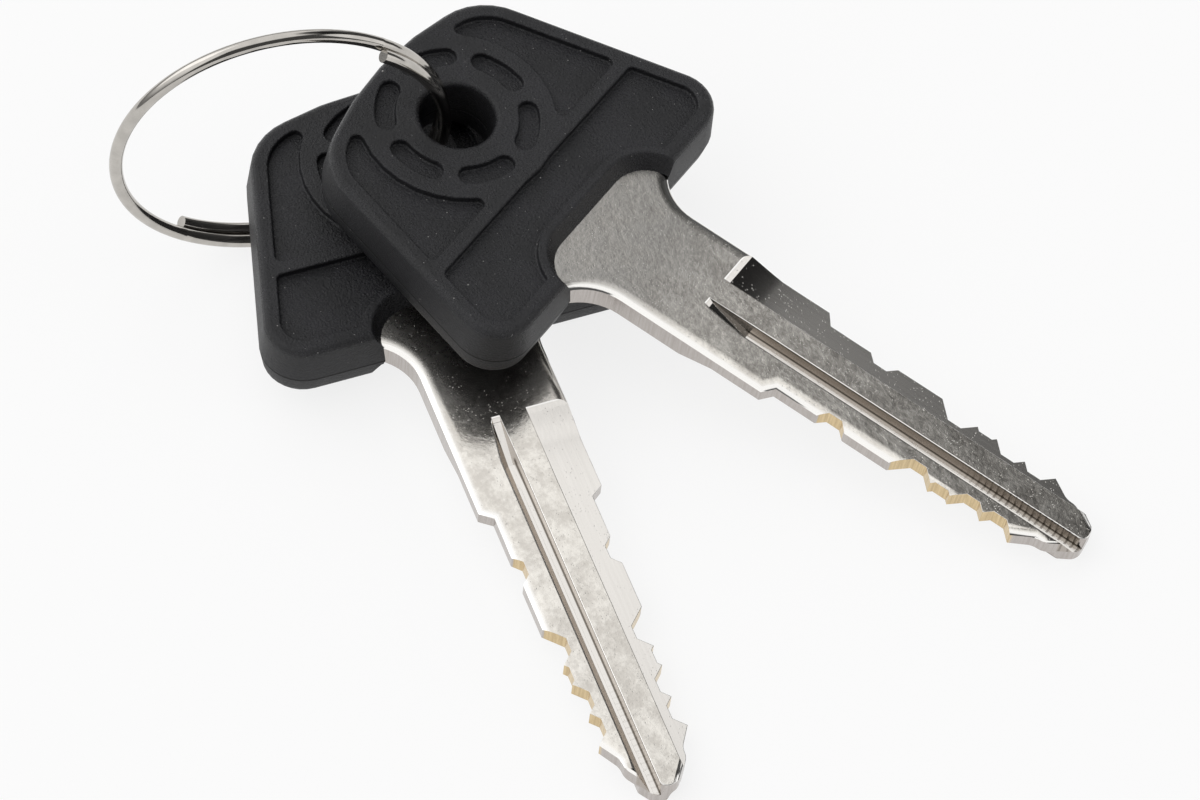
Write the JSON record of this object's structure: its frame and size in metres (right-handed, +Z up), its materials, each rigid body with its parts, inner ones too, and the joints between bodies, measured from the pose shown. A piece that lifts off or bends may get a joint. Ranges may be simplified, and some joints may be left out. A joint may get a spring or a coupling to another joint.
{
  "type": "ignition keys on a split ring",
  "caption": "Ignition keys on a split ring: flat metal blades with stepped edge cuts and milled faces, each moulded into a black plastic head with sunk panels and a ring hole.",
  "frame": {"origin": "on the table that the set lies on, under the middle of its box", "axes": "+X from the ring towards the blades' tips, +Z up from the table"},
  "size_m": [0.0645, 0.041, 0.0254],
  "materials": {
    "key_metal": "nickel-plated, with bare brass in the cuts",
    "head_plastic": "fine moulded grain",
    "ring_metal": "polished"
  },
  "bodies": {
    "ring": {"split_ring": "ring_metal"},
    "upper_key": {"upper_key_blade": "key_metal", "upper_key_head": "head_plastic"},
    "lower_key": {"lower_key_blade": "key_metal", "lower_key_head": "head_plastic"}
  },
  "joints": [
    {"name": "upper_key_swing", "type": "hinge", "parent": "ring", "child": "upper_key", "pos_m": [-0.02042, 0.00225, 0.01065], "axis": [0.1473, 0.101, 0.9839], "range_deg": [-20, 120]},
    {"name": "lower_key_swing", "type": "hinge", "parent": "ring", "child": "lower_key", "pos_m": [-0.02371, -0.0009, 0.00467], "axis": [0.0864, 0.0661, 0.9941], "range_deg": [-30, 0]}
  ]
}
